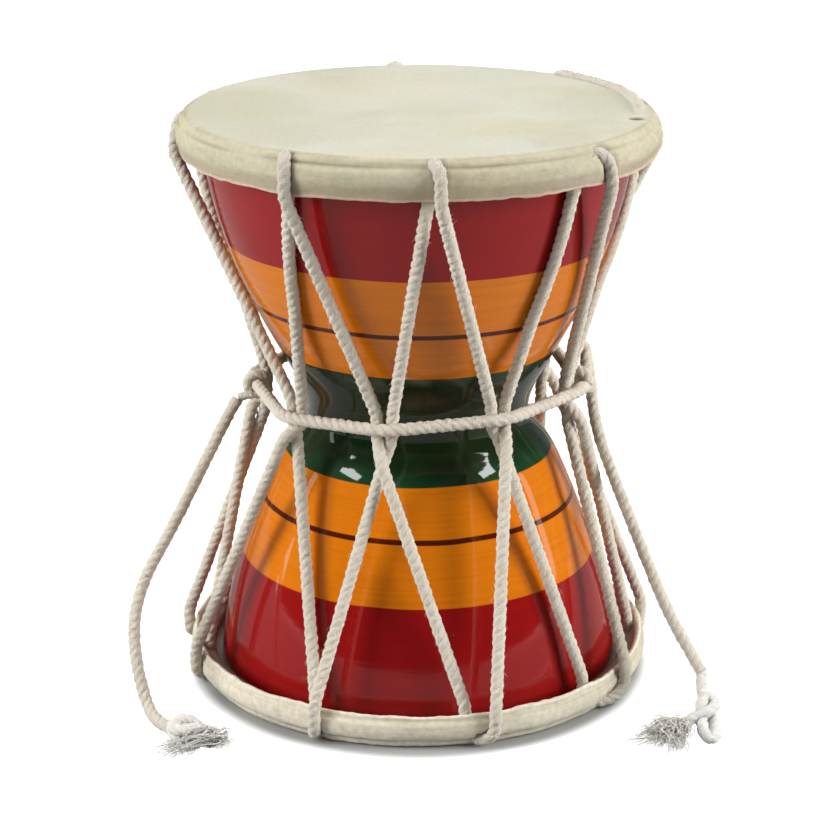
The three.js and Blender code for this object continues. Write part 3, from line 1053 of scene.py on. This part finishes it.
@dataclass
class Head:
    """A rawhide head rolled over a hidden hoop, bitten by the lacing."""

    end: End
    loops: list
    depth: float
    steps: int = 480
    inner_radius: float = 54.6
    skin: float = 1.2
    edge_wave: float = 0.45
    edge_fray: float = 0.16
    hole: tuple = (75.0, 55.1, HEIGHT)
    hole_radius: float = 1.6
    hole_depth: float = 0.8
    roll_radius: float = 56.4
    roll_width: float = 4.2
    roll_depth: float = 4.6
    bite_depth: float = 1.5
    bite_width: float = 3.0

    def outline(self) -> list[tuple[float, float]]:
        """Radius and height of the hide's surface, from the middle out and back underneath."""
        skin = [(radius, 0.0) for radius in SKIN_RADII]
        lip = [(radius, self.depth + rise) for radius, rise in LIP]
        corner = (self.inner_radius, self.depth - 3.4)
        under = [(self.inner_radius, 3.4), (self.inner_radius, self.skin), (40, self.skin), (0, self.skin)]
        outline = [*skin, *ROLL, *lip, corner, *under]
        if self.end is End.TOP:
            return [(radius, HEIGHT - down) for radius, down in outline]
        return outline

    def places(self, points: Points) -> tuple[Points, Points, Points]:
        """Each point's distance from the axis, depth under the playing face and angle round the axis."""
        depth = HEIGHT - points[:, 2] if self.end is End.TOP else points[:, 2]
        return np.hypot(points[:, 0], points[:, 1]), depth, np.arctan2(points[:, 1], points[:, 0])

    def relief(self, points: Points, normals: Points) -> Points:
        """The hide's own unevenness: folds round the rim, wrinkles across it and a wavy cut edge.

        Args:
            points: the head's vertices.
            normals: their directions out of the hide.

        Returns:
            The moved vertices.
        """
        radius, depth, angle = self.places(points)
        at_rim = share_of(radius, 56.0, 2.5) * (depth < self.depth + 1)
        around = on_hide(angle, depth)
        wrinkle_size = 0.13 if self.end is End.BOTTOM else 0.07
        lift = np.zeros(len(points))
        for size, scale, seed in (
            (0.16, (0.045, 0.045, 0.05), 3.1), (0.14, (0.09, 0.09, 1.1), 8.7),
            (wrinkle_size, (0.55, 0.55, 0.16), 5.5), (0.035, (1.2, 1.2, 0.5), 1.9),
        ):
            lift = lift + size * noise_at(around, scale, seed)
        outer = (radius > self.inner_radius + 1.5) | (depth < self.skin - 0.2)
        moved = points + normals * (lift * at_rim * outer)[:, None]
        near_edge = share_of(depth, self.depth - 2.5, 2.5) * (radius > 56.5)
        wave = noise_at(around, (0.16, 0.16, 0.0), 12.3) * self.edge_wave
        wave = wave + noise_at(around, (0.7, 0.7, 0.0), 4.4) * self.edge_fray
        if self.end is End.BOTTOM:
            moved[:, 2] += wave * near_edge
            return moved
        moved[:, 2] -= wave * near_edge
        sag = 0.10 * noise_at(points, (0.03, 0.03, 0.0), 7.7)
        sag = sag + 0.03 * noise_at(points, (0.15, 0.15, 0.0), 2.2)
        face = (depth < 0.3) & (radius < 57)
        moved[:, 2] += np.where(face, sag * np.clip((57 - radius) / 3, 0, 1), 0)
        return self.filled(moved, radius, depth, angle)

    def filled(self, points: Points, radius: Points, depth: Points, angle: Points) -> Points:
        """Fills the groove under the top roll where the hide lies smooth over it.

        Args:
            points: the head's vertices.
            radius: each one's distance from the axis.
            depth: each one's depth under the playing face.
            angle: each one's angle round the axis.

        Returns:
            The vertices, moved out to a plain rounded edge for part of the way round.
        """
        share = np.clip(0.45 + 1.5 * noise_at(on_hide(angle, 0.0), (0.022, 0.022, 0), 33.0), 0, 1)
        for plain_side in (np.cos(angle - math.pi) * 6 - 5.0, np.cos(angle) * 3 - 1.6):
            share = np.maximum(share, np.clip(plain_side, 0, 1))
        bulge = np.sqrt(np.clip(1 - (1 - np.clip(depth / self.roll_depth, 0, 1)) ** 2, 0, 1))
        plain = self.roll_radius + self.roll_width * bulge
        groove = (radius > self.roll_radius + 0.5) & (depth < self.roll_depth)
        wanted = np.where(groove, np.maximum(plain - radius, 0) * share * 0.85, 0)
        moved = points.copy()
        moved[:, 0] += wanted * np.cos(angle)
        moved[:, 1] += wanted * np.sin(angle)
        return moved

    def bite(self, points: Points, normals: Points) -> tuple[Points, Points]:
        """Presses the hide in under each loop of rope.

        Args:
            points: the head's vertices.
            normals: their directions out of the hide.

        Returns:
            The pressed vertices, and how near each is to a rope, from 0 to 1.
        """
        moved = points.copy()
        near = np.zeros(len(points))
        radius = np.hypot(points[:, 0], points[:, 1])
        rim = np.where(radius > self.inner_radius + 0.6)[0]
        for loop in self.loops:
            line = softened(np.array(loop), 0.4, 1.0) if len(loop) > 2 else evenly(np.array(loop), 0.4)
            away = points[rim][:, None, :] - line[None, :, :]
            normal = normals[rim][:, None, :]
            up = -(away * normal).sum(2)
            side = np.linalg.norm(away + normal * up[..., None], axis=2)
            close = side.argmin(1)
            rows = np.arange(len(rim))
            gap, height = side[rows, close], up[rows, close]
            lies_on = share_of(height, -self.bite_depth, 0.8) * (height < 3.0)
            bed = height - ROPE_RADIUS - 0.1 + 0.28 * gap**2
            press = np.clip(bed, -self.bite_depth, 0) * np.exp(-((gap / self.bite_width) ** 4)) * lies_on
            moved[rim] += normals[rim] * press[:, None]
            near[rim] = np.maximum(near[rim], np.clip(1.2 - (gap - 1.2) / 1.4, 0, 1) * lies_on)
        return moved, near

    def build(self) -> Piece:
        """Turns the head, works its surface and stores the masks that its finish reads."""
        piece = spun(f"{self.end.value}_hide", self.outline(), self.steps)
        points, normals = per_vertex(piece, "co") / MM, per_vertex(piece, "normal")
        moved, near = self.bite(self.relief(points, normals), normals)
        hole = np.linalg.norm(points - at(*self.hole), axis=1)
        pit = np.exp(-((hole / self.hole_radius) ** 4)) * (self.end is End.TOP)
        moved[:, 2] -= self.hole_depth * pit
        piece.data.vertices.foreach_set("co", (moved * MM).ravel())
        piece.data.update()
        radius, depth, angle = self.places(points)
        patches = noise_at(on_hide(angle, depth * 0.4), (0.06, 0.06, 0.3), 21.5)
        # Painted shade along the rim's two creases, patchy round the drum.
        crease_shade = np.exp(-(((depth - 2.2) / 0.35) ** 2)) + 0.5 * np.exp(-(((depth - 0.4) / 0.15) ** 2))
        crease_shade *= (radius > 57.3) & (radius < 59.6)
        crease_shade *= np.clip(0.5 + 1.6 * patches, 0, 1)
        # Painted shade on the hide turned in under the rim.
        under = (radius < 58.2) & (depth > 2)
        # Painted shade: the low mask darkens the rim's lower face, and the dark mask covers the creases, the
        # hide round the ropes, the hide under the rim and the hole.
        masks = {
            "rim": share_of(radius, 56.6, 1.6),
            "low": share_of(depth, 5.6, 1.6) * (radius > 58.3),
            "painted_shade": np.clip(0.55 * crease_shade + 0.25 * near + 0.7 * under + 1.8 * pit, 0, 1),
            "edge": share_of(depth, self.depth - 0.75, 0.3) * share_of(radius, 58.3, 0.3),
        }
        for name, values in masks.items():
            attribute = piece.data.attributes.new(name, "FLOAT", "POINT")
            attribute.data.foreach_set("value", values.astype(np.float32))
        return piece


# Shell


@dataclass
class Shell:
    """The turned hourglass shell, open from mouth to mouth."""

    half_height: float = 72.7
    wall: float = 6.2
    steps: int = 192
    rises: int = 44

    def outline(self) -> list[tuple[float, float]]:
        """The outer wall from bottom to top and the inner wall back down."""
        shares = [i / self.rises for i in range(-self.rises, self.rises + 1)]
        heights = [math.copysign(abs(share) ** 1.2, share) * self.half_height for share in shares]
        outer = [(shell_radius(rise), MIDDLE + rise) for rise in heights]
        inner = [(shell_radius(rise) - self.wall, MIDDLE + rise) for rise in heights[::4]]
        return [*outer, *reversed(inner), outer[0]]

    def build(self) -> Piece:
        """Turns the shell."""
        return spun("turned_shell", self.outline(), self.steps)


# Stage


def hang(name: str, data: bpy.types.ID, place: tuple | Vector, look: Vector) -> Piece:
    """Hangs a camera or a light.

    Args:
        name: the object's name.
        data: the camera's or light's own settings.
        place: where it hangs, in metres.
        look: the direction it faces.

    Returns:
        The object, linked into the scene.
    """
    thing = bpy.data.objects.new(name, data)
    thing.location = place
    thing.rotation_euler = look.to_track_quat("-Z", "Y").to_euler()
    bpy.context.scene.collection.objects.link(thing)
    return thing


@dataclass(frozen=True)
class Softbox:
    """A rectangular light that faces the drum: metres and watts.

    One that is mirrored shows in the lacquer, and the others only light the drum.
    """

    name: str
    place: tuple
    size: tuple
    power: float
    mirrored: bool

    def hang(self) -> None:
        """Hangs the softbox."""
        data = bpy.data.lights.new(self.name, "AREA")
        data.shape = "RECTANGLE"
        data.size, data.size_y = self.size
        data.energy = self.power
        light = hang(self.name, data, self.place, Vector((0, 0, 0.075)) - Vector(self.place))
        light.visible_glossy = self.mirrored


SOFTBOXES = (
    Softbox("softbox_left", (-1.0, -0.35, 0.42), (0.5, 0.5), 10.5, False),
    Softbox("softbox_right", (1.05, -0.3, 0.42), (0.5, 0.5), 11.5, False),
    Softbox("softbox_above", (0.0, 0.2, 1.1), (0.8, 0.8), 5.0, False),
    Softbox("window_left", (-0.70, -0.26, 0.72), (0.30, 0.11), 1.2, True),
    Softbox("window_right", (0.70, -0.27, 0.72), (0.30, 0.11), 1.35, True),
    Softbox("strip_left", (-1.1, 0.1, 0.25), (0.10, 0.5), 0.35, True),
    Softbox("strip_right", (1.1, 0.1, 0.25), (0.10, 0.5), 0.35, True),
)


def grey(level: float) -> tuple[float, float, float]:
    """A plain grey."""
    return (level, level, level)


@dataclass
class Studio:
    """Camera, pale floor and white surroundings."""

    eye: tuple = (-0.5, -580.0, 266.4)
    target: tuple = (-0.5, 0.0, 66.7)
    focal_length: float = 101.7
    glow_start: float = 0.0578
    glow_full: float = 0.0632
    glow_shift: float = 0.003

    def camera(self) -> None:
        """Places the camera."""
        data = bpy.data.cameras.new("studio_camera")
        data.lens = self.focal_length
        data.sensor_width = 36.0
        data.clip_start = 0.01
        eye = Vector(self.eye)
        bpy.context.scene.camera = hang("studio_camera", data, eye * MM, Vector(self.target) - eye)

    def surroundings(self) -> None:
        """White to the camera, soft and even on the drum, and dim where the lacquer mirrors it."""
        world = bpy.data.worlds.new("white_surroundings")
        bpy.context.scene.world = world
        world.use_nodes = True
        nodes = NodeTree(world.node_tree)
        world.node_tree.nodes.clear()
        behind = nodes.ramp(nodes.part(nodes.add("TexCoord").outputs["Generated"], "Y"), -0.2, 0.9)
        soft = nodes.mix(behind, grey(0.20), grey(0.34))
        mirrored = nodes.mix(behind, grey(0.03), grey(0.16))
        path = nodes.add("LightPath").outputs
        glow = nodes.mix(path["Is Glossy Ray"], soft, mirrored)
        background = nodes.add("Background", Color=nodes.mix(path["Is Camera Ray"], glow, grey(1.0)))
        nodes.add("OutputWorld", Surface=background.outputs[0])

    def floor(self) -> None:
        """Lays the pale floor, which glows white to the camera away from the drum, fading into the white
        surroundings and leaving shade only round its foot; bounced light sees a dimmer grey.
        """
        deselect_all()
        bpy.ops.mesh.primitive_plane_add(size=6.0, location=(0, 0, 0))
        piece = bpy.context.active_object
        piece.name = "studio_floor"
        material, nodes, shader = new_material("studio_white")
        place = nodes.place()
        uneven = nodes.noise(place, 3.0)
        # Bounced light sees a dimmer grey than the camera does.
        pale = nodes.mix(uneven, grey(0.42), (0.44, 0.44, 0.43))
        dim = nodes.mix(uneven, grey(0.30), (0.33, 0.33, 0.32))
        seen = nodes.add("LightPath").outputs["Is Camera Ray"]
        ahead = nodes.add("VectorMath", operation="ADD")
        nodes.feed(ahead.inputs[0], place)
        nodes.feed(ahead.inputs[1], (0.0, self.glow_shift, 0.0))
        away = nodes.add("VectorMath", operation="LENGTH")
        nodes.feed(away.inputs[0], ahead.outputs[0])
        # Painted light: beyond a ring round the drum's foot, moved towards the camera, the floor glows white
        # for camera rays and hides its shade there.
        far = nodes.times(nodes.ramp(away.outputs["Value"], self.glow_start, self.glow_full), seen)
        nodes.fill(
            shader, Base_Color=nodes.mix(seen, dim, pale), Roughness=0.8, Specular_IOR_Level=0.1,
            Emission_Color=nodes.mix(far, grey(0.0), grey(1.0)), Emission_Strength=1.0,
        )
        piece.data.materials.append(material)


# The drum


def dress(piece: Piece, finish: Material, slot: str, *nodes: str) -> None:
    """Gives a piece its finish and its place in the frame.

    Args:
        piece: the finished mesh.
        finish: its material.
        slot: the record's slot it takes its finish from; not used.
        *nodes: the frame nodes it stands for.
    """
    piece.data.materials.clear()
    piece.data.materials.append(finish)
    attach(piece, "root")
    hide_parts(*nodes)
    LOG.info("%s: %d faces, stands for %s", piece.name, len(piece.data.polygons), ", ".join(nodes))


def main() -> None:
    """Builds the drum piece by piece."""
    logging.basicConfig(level=logging.INFO, format="%(name)s: %(message)s")
    studio = Studio()
    studio.camera()
    cotton = Cotton(rim_height_share=0.45).material()
    frayed = Cotton(
        "frayed_cotton", light=(1.0, 0.985, 0.92), valley_shade=(0.8, 0.74, 0.63), soil=(1.0, 0.96, 0.87),
        translucency=0.6,
    ).material()
    left_tassel = ((-60.5, -62.0, 2.0, 200), (-47.9, -58.6, 1.3, 60))
    right_tassel = ((57.2, -55.0, 2.4, 230), (62.5, -61.2, 1.8, 120))
    left = Striker("left", LEFT_CORD, LEFT_KNOT, left_tassel, 11)
    right = Striker("right", RIGHT_CORD, RIGHT_KNOT, right_tassel, 23)
    for striker in (left, right):
        (cord, path), knot = striker.cord(), striker.knot()
        dress(cord, cotton, "rope", f"striker_cord_{striker.name}")
        dress(knot, frayed, "rope", f"striker_knot_{striker.name}")
    lacing = Lacing()
    dress(lacing.build(), cotton, "rope", "lacing")
    dress(Belt().build(), cotton, "rope", "belt")
    dress(Shell().build(), Lacquer().material(), "lacquer", "shell")
    top_hide = Rawhide("top_rawhide").material()
    # The bottom hide's lower-face colour is painted shade too, lighter than the top's.
    bottom_hide = Rawhide(
        "bottom_rawhide", rim=(0.87, 0.80, 0.66), lower_face_shade=(0.80, 0.72, 0.57), edge=(0.88, 0.81, 0.68),
    ).material()
    for end, depth, hide in ((End.TOP, 10.1, top_hide), (End.BOTTOM, 9.1, bottom_hide)):
        dress(Head(end, lacing.loops[end], depth).build(), hide, "rawhide", f"{end.value}_head")
    studio.floor()
    for softbox in SOFTBOXES:
        softbox.hang()
    studio.surroundings()
    bpy.context.scene.view_settings.view_transform = "Standard"
    bpy.context.view_layer.update()


if __name__ == "__main__":
    main()
